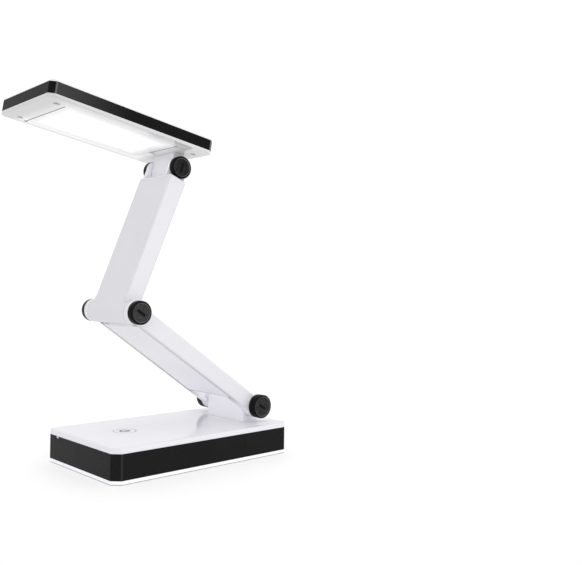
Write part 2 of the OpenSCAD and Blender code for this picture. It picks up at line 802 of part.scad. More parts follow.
module lower_arm_leads() {
    x0 = floor_start + lead_end;
    x1 = lower_len - elbow_r - notch_depth;
    z = cover_sunk + cover_t;
    color("tomato") lower_frame() intersection() {
        arm_slice(x0, x1, cover_rim, z, z + lead_t);
        translate([x0, lead_y - lead_w / 2, -lower_w0]) cube([x1 - x0, lead_w, 2 * lower_w0]);
    }
}

module base_hinge_pin() { color("silver") lower_frame() hinge_pin(base_ear_out); }
module base_hinge_nut() { color("silver") lower_frame() hinge_nut(base_ear_out); }
module base_hinge_washers() { color("silver") lower_frame() hinge_washers(post_w, washer_r); }
module base_hinge_caps() { color("black") lower_frame() hinge_caps(base_ear_out, base_cap_r, base_cap_t); }

module elbow_pin() { color("silver") elbow_frame() hinge_pin(elbow_ear_out); }
module elbow_nut() { color("silver") elbow_frame() hinge_nut(elbow_ear_out); }
module elbow_washers() { color("silver") elbow_frame() hinge_washers(barrel_w, washer_r); }
module elbow_caps() { color("black") elbow_frame() hinge_caps(elbow_ear_out, cap_r, elbow_cap_t); }

// ---------- upper arm ----------

// The outside of the upper arm, a flat wedge with round long edges and soft shoulders
module upper_body() {
    hull() {
        arm_section(0, upper_w, -upper_back(0), upper_front(0), 0);
        for (inset = [shoulder_bevel, 0]) let (x = shoulder_x - section_t - shoulder_bevel + inset)
            arm_section(x, upper_w, -upper_back(x), upper_front(x), inset);
    }
}

// A slice of the upper arm, w wide, between heights over its back face and under its front face
module upper_slice(x0, x1, w, above_back, below_front) {
    across(w) polygon([
        [x0, above_back - upper_back(x0)], [x1, above_back - upper_back(x1)],
        [x1, upper_front(x1) - below_front], [x0, upper_front(x0) - below_front]
    ]);
}

// A sheet against the back face of the upper arm, from height z0 to z1 over it
module back_sheet(x0, x1, w, z0, z1) {
    across(w) polygon([
        [x0, z0 - upper_back(x0)], [x1, z0 - upper_back(x1)],
        [x1, z1 - upper_back(x1)], [x0, z1 - upper_back(x0)]
    ]);
}

// The concave fillets that widen the arm into its barrel
module barrel_fillets() {
    side = upper_w / 2;
    both_sides() difference() {
        translate([0, side - arm_edge_r, barrel_fillet_in - upper_back0])
            cube([elbow_r + barrel_fillet_r, barrel_fillet_r + arm_edge_r,
                upper_back0 + upper_front0 - 2 * barrel_fillet_in]);
        translate([elbow_r + barrel_fillet_r, side + barrel_fillet_r, -lower_w0])
            cylinder(r = barrel_fillet_r, h = 2 * lower_w0);
    }
}

// The two ears that stand on the arm's shoulders and hold the head's tongue
module head_ears() {
    both_sides() intersection() {
        union() {
            translate([upper_len, 0, 0]) bar(head_ear_r, head_ear_in, head_ear_out);
            upper_slice(shoulder_x - upper_wall, upper_len, 2 * head_ear_out, 0, 0);
        }
        translate([shoulder_x - upper_wall, head_ear_in, -head_ear_r])
            cube([upper_len, head_ear_t, 2 * head_ear_r]);
    }
}

module upper_arm() {
    cover_w = upper_w - 2 * back_cover_side;
    color("white") upper_frame() difference() {
        union() {
            difference() {
                upper_body();
                upper_slice(cavity_x0, cavity_x1, upper_w - 2 * upper_wall, back_cover_t, upper_wall);
                back_sheet(back_cover_x0, back_cover_x1, cover_w, -over, back_cover_t + eps);
            }
            bar(elbow_r, -barrel_w / 2, barrel_w / 2);
            barrel_fillets();
            for (x = upper_screw_x) translate([x, 0, back_cover_t + slip - upper_back(x)])
                cylinder(r = screw_post_r, h = upper_back(x) + upper_front(x) - back_cover_t - upper_wall);
            head_ears();
        }
        bar(pin_r + pin_clearance, -barrel_w, barrel_w);
        translate([upper_len, 0, 0]) ear_cuts(tongue_w, head_ear_out, head_washer_r);
        for (x = upper_screw_x) translate([x, 0, back_cover_t - upper_back(x) - eps])
            cylinder(r = screw_r, h = upper_screw_bite);
    }
}

module upper_arm_cover() {
    w = upper_w - 2 * back_cover_side - 2 * slip;
    color("whitesmoke") upper_frame() difference() {
        back_sheet(back_cover_x0 + slip, back_cover_x1 - slip, w, 0, back_cover_t);
        for (x = upper_screw_x) translate([x, 0, screw_sunk - upper_back(x)])
            screw_hole(screw_sunk + over);
    }
}

module upper_arm_screws() {
    len = back_cover_t - screw_sunk + upper_screw_bite - hole_spare;
    color("silver") upper_frame() for (x = upper_screw_x)
        translate([x, 0, -upper_back(x) + screw_sunk]) screw(len);
}

module upper_arm_leads() {
    color("tomato") upper_frame() translate([0, lead_y - lead_w, 0])
        back_sheet(cavity_x0 + over, cavity_x1 - over, lead_w, back_cover_t, back_cover_t + lead_t);
}

module head_hinge_pin() { color("silver") arm_top_frame() hinge_pin(head_ear_out); }
module head_hinge_nut() { color("silver") arm_top_frame() hinge_nut(head_ear_out); }
module head_hinge_washers() {
    color("silver") arm_top_frame() hinge_washers(tongue_w, head_washer_r);
}
module head_hinge_caps() { color("black") arm_top_frame() hinge_caps(head_ear_out, cap_r, head_cap_t); }

// ---------- head ----------

module head_bezel() {
    inset = head_wall + slip;
    color("white") head_frame() difference() {
        union() {
            difference() {
                translate([head_mid, 0, head_drop]) mirror([0, 0, 1])
                    crowned_block(head_l, head_w, bezel_t, head_corner, head_edge_r);
                translate([window_mid, 0, diffuser_z]) linear_extrude(bezel_t)
                    square([sheet_l + 2 * slip, sheet_w + 2 * slip], center = true);
            }
            translate([head_mid, 0, head_drop - eps]) lip_ring(head_l, head_w, head_corner, inset);
            tongue();
        }
        bar(pin_r + pin_clearance, -tongue_w, tongue_w);
        translate([window_mid, 0, bezel_z - over]) linear_extrude(bezel_t)
            square([window_l, window_w], center = true);
        translate([0, 0, bezel_z + screw_sunk]) head_screw_places() screw_hole(over);
    }
}

// The tongue that hangs between the arm's ears, flat in front and round at its end
module tongue() {
    intersection() {
        translate([-tongue_t / 2, -tongue_w / 2, -tongue_r])
            cube([tongue_t, tongue_w, tongue_r + bezel_z + eps]);
        union() {
            bar(tongue_r, -tongue_w / 2, tongue_w / 2);
            translate([-tongue_r, -tongue_w / 2, 0]) cube([2 * tongue_r, tongue_w, bezel_z + eps]);
        }
    }
}

// The four places where screws hold the bezel
module head_screw_places() {
    for (i = [0, 1], side = [-1, 1]) translate([head_screw_x[i], side * head_screw_ys[i], 0]) children();
}

module head_band() {
    color("black") head_frame() translate([head_mid, 0, head_drop])
        band_ring(head_l, head_w, head_corner, head_wall, head_band_h);
}

module head_top() {
    color("white") head_frame() difference() {
        union() {
            translate([head_mid, 0, cover_z])
                crowned_block(head_l, head_w, head_top_h, head_corner, head_edge_r);
            translate([head_mid, 0, cover_z - lip_h])
                lip_ring(head_l, head_w, head_corner, head_wall + slip);
            translate([0, 0, head_drop]) head_screw_places()
                cylinder(r = screw_post_r, h = head_band_h + eps);
        }
        translate([0, 0, head_drop - eps]) head_screw_places() cylinder(r = screw_r, h = head_screw_len);
    }
}

module diffuser() {
    color("ivory") head_frame() translate([window_mid, 0, diffuser_z]) linear_extrude(diffuser_t)
        square([sheet_l, sheet_w], center = true);
}

module reflector() {
    color("white") head_frame() translate([window_mid, 0, reflector_z]) linear_extrude(reflector_h)
        difference() {
            square([sheet_l, sheet_w], center = true);
            square([sheet_l - 2 * reflector_wall, sheet_w - 2 * reflector_wall], center = true);
        }
}

module led_board() {
    color("seagreen") head_frame() translate([window_mid, 0, led_board_z]) linear_extrude(led_board_t)
        square([sheet_l, sheet_w], center = true);
}

module led_chips() {
    pitch_x = window_l / led_columns;
    pitch_y = window_w / led_rows;
    color("gold") head_frame() translate([window_mid, 0, led_board_z - led_h])
        for (i = [0 : led_columns - 1], j = [0 : led_rows - 1])
            translate([(i - (led_columns - 1) / 2) * pitch_x - led_l / 2,
                (j - (led_rows - 1) / 2) * pitch_y - led_w / 2, 0]) cube([led_l, led_w, led_h]);
}

module heat_spreader() {
    color("silver") head_frame() translate([window_mid, 0, led_board_z + led_board_t])
        linear_extrude(spreader_t) square([sheet_l, sheet_w], center = true);
}

module head_screws() {
    color("silver") head_frame() translate([0, 0, bezel_z + screw_sunk]) head_screw_places()
        screw(bezel_t - screw_sunk + head_screw_len - hole_spare);
}

foot_pad();
base_tray();
base_screws();
base_band();
top_plate();
ballast_plate();
battery_cells();
control_board();
charge_socket();
charge_light();
touch_sensor();
hinge_post();
post_screws();
lower_arm();
lower_arm_cover();
lower_arm_leads();
base_hinge_pin();
base_hinge_nut();
base_hinge_washers();
base_hinge_caps();
elbow_pin();
elbow_nut();
elbow_washers();
elbow_caps();
upper_arm();
upper_arm_cover();
upper_arm_screws();
upper_arm_leads();
head_hinge_pin();
head_hinge_nut();
head_hinge_washers();
head_hinge_caps();
head_bezel();
head_band();
head_top();
diffuser();
reflector();
led_board();
led_chips();
heat_spreader();
head_screws();
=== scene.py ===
import json
import math
import bpy
import bmesh
from mathutils import Matrix, Vector


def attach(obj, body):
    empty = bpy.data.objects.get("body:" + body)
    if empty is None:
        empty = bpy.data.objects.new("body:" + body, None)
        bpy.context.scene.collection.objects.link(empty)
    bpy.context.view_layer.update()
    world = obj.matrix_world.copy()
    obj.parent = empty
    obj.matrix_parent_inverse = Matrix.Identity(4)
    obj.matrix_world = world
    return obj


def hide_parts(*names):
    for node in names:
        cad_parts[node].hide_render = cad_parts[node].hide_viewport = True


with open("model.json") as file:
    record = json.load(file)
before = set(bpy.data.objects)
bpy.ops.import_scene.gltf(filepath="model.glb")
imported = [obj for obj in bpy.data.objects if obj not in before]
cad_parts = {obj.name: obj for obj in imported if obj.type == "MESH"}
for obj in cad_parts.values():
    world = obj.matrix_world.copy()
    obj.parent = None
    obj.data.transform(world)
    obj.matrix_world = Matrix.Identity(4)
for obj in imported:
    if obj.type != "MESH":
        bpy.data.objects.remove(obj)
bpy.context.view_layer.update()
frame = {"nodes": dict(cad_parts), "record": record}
MM = 0.001


# ---------- where the lamp's bodies stand, in millimetres and degrees ----------

LOWER_SLOPE, UPPER_SLOPE, HEAD_TILT = 34.3, 68.5, 8.6
LOWER_REACH, UPPER_REACH = 162.7, 140.0


def rise(reach, slope, way):
    """The step from one hinge to the next, rising at a slope; way is 1 towards the base's hinge end."""
    return reach * Vector((way * math.cos(math.radians(slope)), 0, math.sin(math.radians(slope))))


BASE_HINGE = Vector((72.4, 0.0, 44.5))
ELBOW = BASE_HINGE + rise(LOWER_REACH, LOWER_SLOPE, -1)
HEAD_HINGE = ELBOW + rise(UPPER_REACH, UPPER_SLOPE, 1)


def standing(hinge, slope, mirrored):
    """From a body's own millimetres to the frame's metres."""
    place = Matrix.Translation(hinge * MM) @ Matrix.Rotation(math.radians(slope), 4, "Y")
    return place @ Matrix.Diagonal((-MM if mirrored else MM, MM, MM, 1))


LEVEL = Matrix.Diagonal((MM, MM, MM, 1))
LOWER_ARM = standing(BASE_HINGE, LOWER_SLOPE, True)
UPPER_ARM = standing(ELBOW, -UPPER_SLOPE, False)
HEAD = standing(HEAD_HINGE, HEAD_TILT, True)

# Base: the height of its deck, and the length, width and cut corner of its band as (half, half, whole)
DECK = 29.4
BASE_BAND = (95.0, 59.0, 6.5)

# Lower arm, at its two hinges: depth of its underside and half its width
LOWER_UNDER = (9.1, 7.8)
LOWER_HALF = (37.45, 33.3)

# Head, from its hinge: the bezel's face, the light window, and the band's middle and sizes as for the base
BEZEL_FACE = 13.45
WINDOW_TIP, WINDOW_REAR, WINDOW_SIDE = 120.4, 16.0, 35.0
HEAD_MIDDLE = 62.65
HEAD_BAND = (78.45, 46.75, 4.4)


# ---------- nodes ----------

def feed(tree, value, socket):
    """Gives a socket its value, or links it to the socket that has it."""
    if isinstance(value, bpy.types.NodeSocket):
        tree.links.new(value, socket)
    else:
        socket.default_value = value


def new_node(tree, kind, **settings):
    node = tree.nodes.new(kind)
    for key, value in settings.items():
        setattr(node, key, value)
    return node


def maths(tree, operation, *values):
    """A math node on values that are numbers or sockets."""
    node = new_node(tree, "ShaderNodeMath", operation=operation)
    for value, socket in zip(values, node.inputs):
        feed(tree, value, socket)
    return node.outputs[0]


# ---------- camera, floor and light ----------

CAMERA_PLACE = Vector((-392.48, -562.37, 158.27))
CAMERA_AZIMUTH, CAMERA_ELEVATION, CAMERA_ROLL = -44.06, -0.49, 0.84
SENSOR_WIDTH, FOCAL_LENGTH = 36.0, 44.69

# The studio's walls: their even light, and the broad brighter places as (direction, brightness)
EVEN_LIGHT = 0.45
GLOW_TIGHTNESS = 3.0
GLOWS = (((-1, -0.2, 0.05), 0.47),
         ((0.1, -1, 0.2), 0.96),
         ((0.4, 0.9, 0.2), 0.6),
         ((0, 0, 1), 0.7),
         ((1, -0.2, 0.2), 0.9),
         ((-0.6, 0.8, 0.1), 0.42))

FLOOR_WIDTH = 12
FLOOR_LIGHT = 0.62


def stand_camera():
    """A camera at half the lamp's height, off the near corner of the base."""
    azimuth, elevation, roll = (math.radians(v) for v in (CAMERA_AZIMUTH, CAMERA_ELEVATION, CAMERA_ROLL))
    back = Vector((math.sin(azimuth) * math.cos(elevation), -math.cos(azimuth) * math.cos(elevation),
                   math.sin(elevation)))
    right = Vector((math.cos(azimuth), math.sin(azimuth), 0.0))
    up = back.cross(right)
    x = math.cos(roll) * right + math.sin(roll) * up
    y = math.cos(roll) * up - math.sin(roll) * right
    data = bpy.data.cameras.new("camera")
    data.sensor_width = SENSOR_WIDTH
    data.lens = FOCAL_LENGTH
    data.clip_start = 0.02
    data.clip_end = 50.0
    camera = bpy.data.objects.new("camera", data)
    bpy.context.scene.collection.objects.link(camera)
    place = Matrix((x, y, back)).transposed().to_4x4()
    place.translation = CAMERA_PLACE * MM
    camera.matrix_world = place
    bpy.context.scene.camera = camera


def soft_box(name, place, target, size, brightness):
    """A lit white screen that faces the lamp."""
    data = bpy.data.lights.new(name, "AREA")
    data.shape = "RECTANGLE"
    data.size, data.size_y = size
    data.energy = brightness * math.pi * size[0] * size[1]
    light = bpy.data.objects.new(name, data)
    light.location = place
    light.rotation_euler = (Vector(target) - Vector(place)).to_track_quat("-Z", "Y").to_euler()
    bpy.context.scene.collection.objects.link(light)


def studio_walls():
    """White walls all round with a few broad brighter places."""
    world = bpy.data.worlds.new("studio")
    bpy.context.scene.world = world
    world.use_nodes = True
    tree = world.node_tree
    direction = tree.nodes.new("ShaderNodeTexCoord").outputs["Generated"]
    total = EVEN_LIGHT
    for towards, brightness in GLOWS:
        facing = new_node(tree, "ShaderNodeVectorMath", operation="DOT_PRODUCT")
        tree.links.new(direction, facing.inputs[0])
        facing.inputs[1].default_value = Vector(towards).normalized()
        front = maths(tree, "MAXIMUM", facing.outputs["Value"], 0.0)
        total = maths(tree, "MULTIPLY_ADD", maths(tree, "POWER", front, GLOW_TIGHTNESS), brightness, total)
    background = tree.nodes["Background"]
    background.inputs["Strength"].default_value = 1.0
    tree.links.new(total, background.inputs["Color"])


def light_the_lamp():
    studio_walls()
    soft_box("low_left_box", (-1.3, -0.5, 0.35), (0, 0, 0.12), (0.6, 0.7), 0.6)


def lay_floor():
    """A plain pale floor with a little light of its own, which keeps the shadow faint."""
    bpy.ops.mesh.primitive_plane_add(size=FLOOR_WIDTH, location=(0, 0, 0))
    floor = bpy.context.object
    floor.name = "floor"
    f = Finish("pale_floor")
    f.colour(f.noise(6.0), grey(0.33), grey(0.35))
    f.roughness(f.noise(40.0), 0.6, 0.7)
    f.bump(f.noise(300.0, 2.0), 0.1, 0.00002)
    f.shader.inputs["Specular IOR Level"].default_value = 0.2
    f.glow(FLOOR_LIGHT)
    floor.data.materials.append(f.material)


# ---------- finishes ----------

# Roughness ranges that several finishes share, and the radius in metres to which an edge looks softened
GLOSSY, SATIN, SOFT_SATIN = (0.2, 0.3), (0.28, 0.36), (0.34, 0.42)
SOFT_EDGE, FINE_EDGE, SHARP_EDGE = 0.0004, 0.0002, 0.0


def grey(value):
    return (value, value, value)


def cool_white(value):
    return (value, value * 0.99, value * 1.04)


def white(shade):
    """The two cool whites a little either side of a shade."""
    return cool_white(shade - 0.008), cool_white(shade + 0.008)


class Finish:
    """A node material under construction."""

    def __init__(self, name, edge=SHARP_EDGE):
        self.material = bpy.data.materials.new(name)
        self.material.use_nodes = True
        self.tree = self.material.node_tree
        self.shader = self.tree.nodes["Principled BSDF"]
        self.place = self.tree.nodes.new("ShaderNodeTexCoord").outputs["Object"]
        self.normal = None
        if edge:
            soft = self.node("ShaderNodeBevel", samples=6)
            soft.inputs["Radius"].default_value = edge
            self.normal = soft.outputs["Normal"]
            self.link(self.normal, self.shader.inputs["Normal"])

    def node(self, kind, **settings):
        return new_node(self.tree, kind, **settings)

    def link(self, a, b):
        self.tree.links.new(a, b)

    def maths(self, operation, *values):
        return maths(self.tree, operation, *values)

    def distance(self, place):
        """How far a place is from the middle, whichever side it is on."""
        return self.maths("ABSOLUTE", place)

    def both(self, one, two):
        """The mask where two masks meet."""
        return self.maths("MULTIPLY", one, two)

    def noise(self, scale, detail=3.0):
        node = self.node("ShaderNodeTexNoise")
        node.inputs["Scale"].default_value = scale
        node.inputs["Detail"].default_value = detail
        self.link(self.place, node.inputs["Vector"])
        return node.outputs["Fac"]

    def colour(self, factor, dark, light):
        """Runs the base colour from dark to light over the middle of a factor's range."""
        node = self.node("ShaderNodeValToRGB")
        for element, position, colour in zip(node.color_ramp.elements, (0.3, 0.7), (dark, light)):
            element.position = position
            element.color = (*colour, 1.0)
        self.link(factor, node.inputs["Fac"])
        self.link(node.outputs["Color"], self.shader.inputs["Base Color"])

    def spread(self, factor, low, high, start=0.3, end=0.7):
        """A value that runs smoothly from low to high while the factor runs from start to end."""
        node = self.node("ShaderNodeMapRange", interpolation_type="SMOOTHSTEP")
        for name, value in (("From Min", start), ("From Max", end), ("To Min", low), ("To Max", high)):
            node.inputs[name].default_value = value
        self.link(factor, node.inputs["Value"])
        return node.outputs["Result"]

    def before(self, place, start, end):
        """A mask that is 1 up to the start and 0 from the end on."""
        return self.spread(place, 1.0, 0.0, start, end)

    def past(self, place, start, end):
        """A mask that is 0 up to the start and 1 from the end on."""
        return self.spread(place, 0.0, 1.0, start, end)

    def roughness(self, factor, low, high):
        self.link(self.spread(factor, low, high), self.shader.inputs["Roughness"])

    def bump(self, height, strength, distance):
        node = self.node("ShaderNodeBump")
        node.inputs["Strength"].default_value = strength
        node.inputs["Distance"].default_value = distance
        self.link(height, node.inputs["Height"])
        if self.normal:
            self.link(self.normal, node.inputs["Normal"])
        self.link(node.outputs["Normal"], self.shader.inputs["Normal"])

    def glow(self, strength):
        """White light of the finish's own."""
        self.shader.inputs["Emission Color"].default_value = (1.0, 1.0, 1.0, 1.0)
        feed(self.tree, strength, self.shader.inputs["Emission Strength"])

    def tint(self, mask, colour):
        """Lays another colour over the present one where the mask is 1."""
        mix = self.node("ShaderNodeMix", data_type="RGBA")
        factor, first, second = mix.inputs[0], mix.inputs[6], mix.inputs[7]
        base = self.shader.inputs["Base Color"]
        self.link(mask, factor)
        self.link(base.links[0].from_socket, first)
        second.default_value = (*colour, 1.0)
        self.link(mix.outputs[2], base)

    def measured_from(self, middle, tilt=0.0):
        """The distances in metres from a middle, along a body's axes. Mirrored bodies reach along -X."""
        turn = self.node("ShaderNodeMapping", vector_type="TEXTURE")
        turn.inputs["Location"].default_value = middle
        turn.inputs["Rotation"].default_value = (0, math.radians(tilt), 0)
        self.link(self.place, turn.inputs["Vector"])
        split = self.node("ShaderNodeSeparateXYZ")
        self.link(turn.outputs["Vector"], split.inputs[0])
        return split.outputs

    def from_panel_edge(self):
        """Distance in metres from the edge of the light window, positive inside it, and the place itself."""
        middle = HEAD @ Vector(((WINDOW_TIP + WINDOW_REAR) / 2, 0, BEZEL_FACE))
        place = self.measured_from(middle, HEAD_TILT)
        along = self.maths("SUBTRACT", (WINDOW_TIP - WINDOW_REAR) / 2 * MM, self.distance(place["X"]))
        aside = self.maths("SUBTRACT", WINDOW_SIDE * MM, self.distance(place["Y"]))
        return self.maths("MINIMUM", along, aside), place


def moulded(name, dark, light, roughness, gloss=0.5, coat=0.0, edge=SOFT_EDGE, cloud=24.0):
    """Moulded plastic: faint cloudiness in its colour, uneven gloss and a fine skin."""
    f = Finish(name, edge)
    f.colour(f.noise(cloud), dark, light)
    f.roughness(f.noise(60.0, 4.0), *roughness)
    f.bump(f.noise(2600.0, 2.0), 0.25, 0.000004)
    f.shader.inputs["IOR"].default_value = 1.46
    f.shader.inputs["Specular IOR Level"].default_value = gloss
    f.shader.inputs["Coat Weight"].default_value = coat
    f.shader.inputs["Coat Roughness"].default_value = 0.05
    return f


def metal(name, dark, light, roughness):
    """Bare or plated metal with a fine grain."""
    f = Finish(name, FINE_EDGE)
    f.shader.inputs["Metallic"].default_value = 1.0
    f.colour(f.noise(160.0), dark, light)
    f.roughness(f.noise(420.0, 4.0), *roughness)
    f.bump(f.noise(1400.0, 2.0), 0.3, 0.00002)
    return f


def ribbed_rubber():
    """Matt black rubber with fine ribs across the pad."""
    f = moulded("black_rubber", (0.028, 0.028, 0.03), (0.045, 0.045, 0.047), (0.75, 0.9))
    ribs = f.node("ShaderNodeTexWave", bands_direction="X", wave_profile="SIN")
    ribs.inputs["Scale"].default_value = 160.0
    f.link(f.place, ribs.inputs["Vector"])
    f.bump(f.maths("ADD", ribs.outputs["Fac"], f.noise(1800.0, 2.0)), 0.6, 0.0002)
    return f


def lit_panel():
    """The milky sheet over the diodes, evenly lit and fading at its very edge."""
    f = Finish("milky_light_panel")
    f.colour(f.noise(60.0), (0.86, 0.86, 0.87), (0.88, 0.88, 0.89))
    f.roughness(f.noise(90.0), 0.3, 0.4)
    f.glow(f.spread(f.from_panel_edge()[0], 0.0, 0.45, -0.001, 0.02))
    return f


# In the finishes below, a pair of numbers is the stretch, in metres from the body's middle or hinge,
# over which one shade gives way to the next.

def bezel_finish():
    """Glossy white bezel, with painted shade darkening its tip end, painted light making its rear end and its
    tongue paler, and a painted glow of the panel's light on it beside the window.
    """
    f = moulded("glossy_white_bezel", grey(0.6), grey(0.615), (0.10, 0.16), coat=0.3)
    tip, rear, far_side, lit_border = (-0.062, -0.045), (0.05, 0.06), (0.02, 0.035), (-0.013, 0.0)
    glow_at_panel, far_side_gain, tongue_proud = 0.14, 2.0, 0.0002
    edge, place = f.from_panel_edge()
    # Painted shade darkens the tip end; painted light makes the rear end paler.
    f.tint(f.before(place["X"], *tip), grey(0.55))
    f.tint(f.past(place["X"], *rear), grey(0.645))
    # Painted light makes the tongue below the bezel's face paler.
    tongue = f.maths("LESS_THAN", place["Z"], -tongue_proud)
    f.tint(tongue, cool_white(0.752))
    # Painted glow of the panel's light on the bezel round the window, stronger on the far side and kept off
    # the tongue.
    beside = f.both(f.spread(edge, 0.0, glow_at_panel, *lit_border), f.maths("SUBTRACT", 1.0, tongue))
    f.glow(f.both(beside, f.spread(place["Y"], 1.0, far_side_gain, *far_side)))
    return f


def band_finish(name, middle, tilt, size, shade, gloss, painted_highlight, painted_reflection=0.0):
    """Black band, with a painted highlight down the upright edges of its cut corners and painted reflection
    making it paler towards one end.
    """
    half_length, half_width, corner = size
    f = moulded(name, grey(shade), grey(shade * 1.2), (0.26, 0.32), gloss=gloss)
    place = f.measured_from(middle, tilt)
    across = f.distance(place["Y"])
    # Painted reflection: the long flat sides turn paler towards one end.
    if painted_reflection:
        flat = f.maths("GREATER_THAN", across, (half_width - 0.1) * MM)
        f.tint(f.both(flat, f.before(place["X"], -half_length * MM, 0.0)), grey(painted_reflection))
    # Painted highlight: a pale, slightly ragged line down each upright edge where a cut corner meets a long
    # side.
    along = f.maths("SUBTRACT", f.distance(place["X"]), (half_length - corner) * MM)
    aside = f.maths("SUBTRACT", across, half_width * MM)
    away = f.maths("SQRT", f.maths("ADD", f.maths("POWER", along, 2.0), f.maths("POWER", aside, 2.0)))
    raggedness, line = 0.0004, (0.0004, 0.0013)
    uneven = f.maths("ADD", away, f.maths("MULTIPLY", f.noise(700.0), raggedness))
    f.tint(f.before(uneven, *line), grey(painted_highlight))
    return f


def tray_finish():
    """White tray with a painted contact shadow: a dark line along its foot."""
    f = moulded("glossy_white_tray", *white(0.93), (0.16, 0.22), coat=0.1)
    contact_shadow = (0.0005, 0.0012)
    # Painted contact shadow: the lowest millimetre or so of the tray turns dark grey.
    f.tint(f.before(f.measured_from((0, 0, 0))["Z"], *contact_shadow), grey(0.1))
    return f


def lower_arm_finish():
    """White arm, with painted shade greying the narrow rim round its cover and painted light making it paler
    inside the ears of the base hinge.
    """
    f = moulded("satin_white_lower_arm", *white(0.715), SATIN)
    ears, ear_end = (0.0355, 0.0365), (0.012, 0.03)
    rim, rim_start, rim_end = (0.0004, 0.001), (0.018, 0.034), (0.150, 0.156)
    place = f.measured_from(BASE_HINGE * MM, LOWER_SLOPE)
    along = f.maths("MULTIPLY", place["X"], -1.0)
    taper = (LOWER_UNDER[0] - LOWER_UNDER[1]) / LOWER_REACH
    above = f.maths("SUBTRACT", f.maths("ADD", place["Z"], LOWER_UNDER[0] * MM),
                    f.maths("MULTIPLY", along, taper))
    # Painted light makes the arm paler between the ears of the base hinge.
    inside = f.both(f.before(f.distance(place["Y"]), *ears), f.before(along, *ear_end))
    f.tint(inside, cool_white(0.922))
    # Painted shade greys the narrow rim round the cover, between the cover's two ends.
    between_ends = f.both(f.past(along, *rim_start), f.before(along, *rim_end))
    f.tint(f.both(f.before(above, *rim), between_ends), (0.6, 0.6, 0.61))
    return f


def upper_arm_finish():
    """White arm, with painted light making its sides and the inside of the two thin ears of the head hinge
    paler.
    """
    f = moulded("satin_white_upper_arm", *white(0.655), SATIN)
    side, side_start, ears, ear_start = 0.02515, (0.009, 0.02), (0.0172, 0.0182), (0.126, 0.132)
    place = f.measured_from(ELBOW * MM, -UPPER_SLOPE)
    across = f.distance(place["Y"])
    # Painted light makes the arm's two sides paler.
    sides = f.both(f.maths("GREATER_THAN", across, side), f.past(place["X"], *side_start))
    f.tint(sides, cool_white(0.722))
    # Painted light makes the inside of the ears of the head hinge paler.
    inside = f.both(f.before(across, *ears), f.past(place["X"], *ear_start))
    f.tint(inside, cool_white(0.942))
    return f


def cover_finish():
    """White cover, with painted light making it palest at the end by the base hinge and painted shade greying
    it towards the elbow.
    """
    f = moulded("satin_white_cover", *white(0.85), SOFT_SATIN)
    low_half, high_half = (0.03, 0.09), (0.09, 0.15)
    along = f.maths("MULTIPLY", f.measured_from(BASE_HINGE * MM, LOWER_SLOPE)["X"], -1.0)
    # Painted light at the end by the base hinge.
    f.tint(f.before(along, *low_half), cool_white(0.942))
    # Painted shade over the end towards the elbow.
    f.tint(f.past(along, *high_half), cool_white(0.762))
    return f


